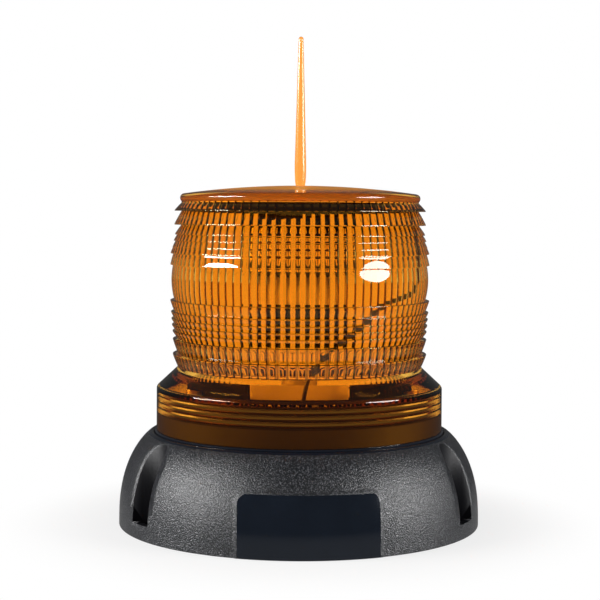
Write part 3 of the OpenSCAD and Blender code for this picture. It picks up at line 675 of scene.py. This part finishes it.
def lens_inside(foot, dome):
    """Inside of the lens from its foot up, as (radius, height), with no radius where it is fluted."""
    bore = FLANGE_R - BORE_INSET
    groove = bore + THREAD_DEPTH
    neck_top = foot + NECK_RISE
    points = [(bore, foot)]
    for k in reversed(range(THREAD_RINGS)):
        z = neck_top - THREAD_TOP - THREAD_PITCH * k
        points += [(bore, z - THREAD_FOOT), (groove, z - THREAD_TIP), (groove, z + THREAD_TIP),
                   (bore, z + THREAD_FOOT)]
    points.append((bore, neck_top + NECK_GAP))
    flute_low = foot + FLANGE_H + CHAMFER_H - CHAMFER_WALL
    points.append((FLUTE_VALLEY_R + FLUTE_CUT, flute_low))
    ceiling_r = flute_radius(0) - CEILING_INSET
    ceiling = dome_height(dome, ceiling_r, DOME_WALL) - CEILING_DROP
    for k in range(FLUTE_ROWS + 1):
        points.append((None, flute_low + (ceiling - flute_low) * k / FLUTE_ROWS))
    points.append((ceiling_r, ceiling))
    for k in range(CEILING_STEPS + 1):
        r = ceiling_r * (1 - k / CEILING_STEPS)
        points.append((r, dome_height(dome, r, DOME_WALL)))
    return points


def lens_ring(mesh, radius, z):
    """A closed loop round the axis; without a radius it follows the flutes."""
    points = []
    for k in range(LENS_STEPS):
        a = 2 * math.pi * k / LENS_STEPS
        share = k % STEPS_PER_FLUTE / STEPS_PER_FLUTE
        r = flute_radius(2 * math.pi / FLUTES * (share - 0.5)) if radius is None else radius
        points.append(mesh.verts.new((r * MM * math.cos(a), r * MM * math.sin(a), z * MM)))
    return points


def close_ring(mesh, ring, z, upward):
    """Faces from a closed loop to a point on the axis."""
    centre = mesh.verts.new((0, 0, z * MM))
    for k in range(len(ring)):
        n = (k + 1) % len(ring)
        mesh.faces.new((ring[k], ring[n], centre) if upward else (ring[n], ring[k], centre))


def make_lens():
    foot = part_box("lens")[0][2] / MM
    dome, outside = lens_outline(foot)
    inside = lens_inside(foot, dome)
    mesh = bmesh.new()
    outer = [lens_ring(mesh, *point) for point in outside[:-1]]
    for one, two in zip(outer, outer[1:]):
        bridge(mesh, one, two)
    close_ring(mesh, outer[-1], outside[-1][1], True)
    inner = [lens_ring(mesh, *point) for point in inside[:-1]]
    for one, two in zip(inner, inner[1:]):
        bridge(mesh, two, one)
    close_ring(mesh, inner[-1], inside[-1][1], False)
    bridge(mesh, inner[0], outer[0])
    bmesh.ops.recalc_face_normals(mesh, faces=mesh.faces)
    lens = new_piece("amber_lens", mesh, (
        amber_glass("amber_lens", AMBER, LENS_ROUGH),
        amber_glass("amber_dome", CLOUDY_AMBER, DOME_ROUGH, DOME_CLEAR, DOME_CLEARS),
        amber_glass("amber_flange", THICK_AMBER, CLEAR_ROUGH),
        plain_plastic("amber_neck_and_shade", NECK_AND_SHADE_COLOUR, NECK_AND_SHADE_ROUGH)), LENS_SHARP)
    dome_foot, neck_and_shade_top, flange_top = dome[0] - DOME_RISE, foot + NECK_AND_SHADE_H, foot + FLANGE_H
    for face in lens.data.polygons:
        z, reach = face.center.z, face.center.xy.length
        if z > dome_foot * MM and face.normal.z > DOME_LEVEL:
            face.material_index = CLOUDY
        # The lower bore takes the dark sheet: the black neck behind it, partly its own colour and partly
        # painted shade
        elif z < neck_and_shade_top * MM and reach < (FLANGE_R - NECK_AND_SHADE_INSET) * MM:
            face.material_index = NECK_AND_SHADE
        elif z < flange_top * MM:
            face.material_index = THICK
        else:
            face.material_index = CLEAR
    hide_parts("lens")
    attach(lens, "root")


# Deck and the pieces inside

def make_deck_rim():
    """Raised edge of the deck plate on both sides of the battery pack."""
    section = ((EDGE_OUT, 0), (EDGE_OUT, EDGE_TALL), (EDGE_IN, EDGE_TALL), (EDGE_IN, 0))
    mesh = bmesh.new()
    for start, end in EDGE_SPANS:
        loops = []
        for k in range(EDGE_STEPS + 1):
            a = math.radians(start + (end - start) * k / EDGE_STEPS)
            loops.append([mesh.verts.new((r * MM * math.sin(a), -r * MM * math.cos(a),
                                          EDGE_FOOT * MM + h * MM)) for r, h in section])
        for one, two in zip(loops, loops[1:]):
            bridge(mesh, one, two)
        mesh.faces.new(loops[0])
        mesh.faces.new(loops[-1])
    bmesh.ops.recalc_face_normals(mesh, faces=mesh.faces)
    rim = new_piece("deck_rim", mesh, (plain_plastic("deck_plastic", BLACK, BLACK_ROUGH, specular=0.0),))
    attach(rim, "root")


def dress(node, material):
    """A CAD node keeps its mesh and gets a finished material."""
    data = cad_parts[node].data
    data.materials.clear()
    data.materials.append(material)


def dress_nodes():
    for name, colour, roughness, more, nodes in FINISHES:
        material = plain_plastic(name, colour, roughness, **more)
        for node in nodes:
            dress(node, material)
    dress("bird_spike", amber_glass("amber_spike", SPIKE_AMBER, SPIKE_ROUGH, SPIKE_CLEAR))


bpy.context.scene.view_settings.view_transform = "Standard"
set_camera()
set_world()
add_floor()
for lamp_name, lamp in LAMPS.items():
    add_lamp(lamp_name, *lamp)
dress_nodes()
make_base()
make_deck_rim()
make_lens()
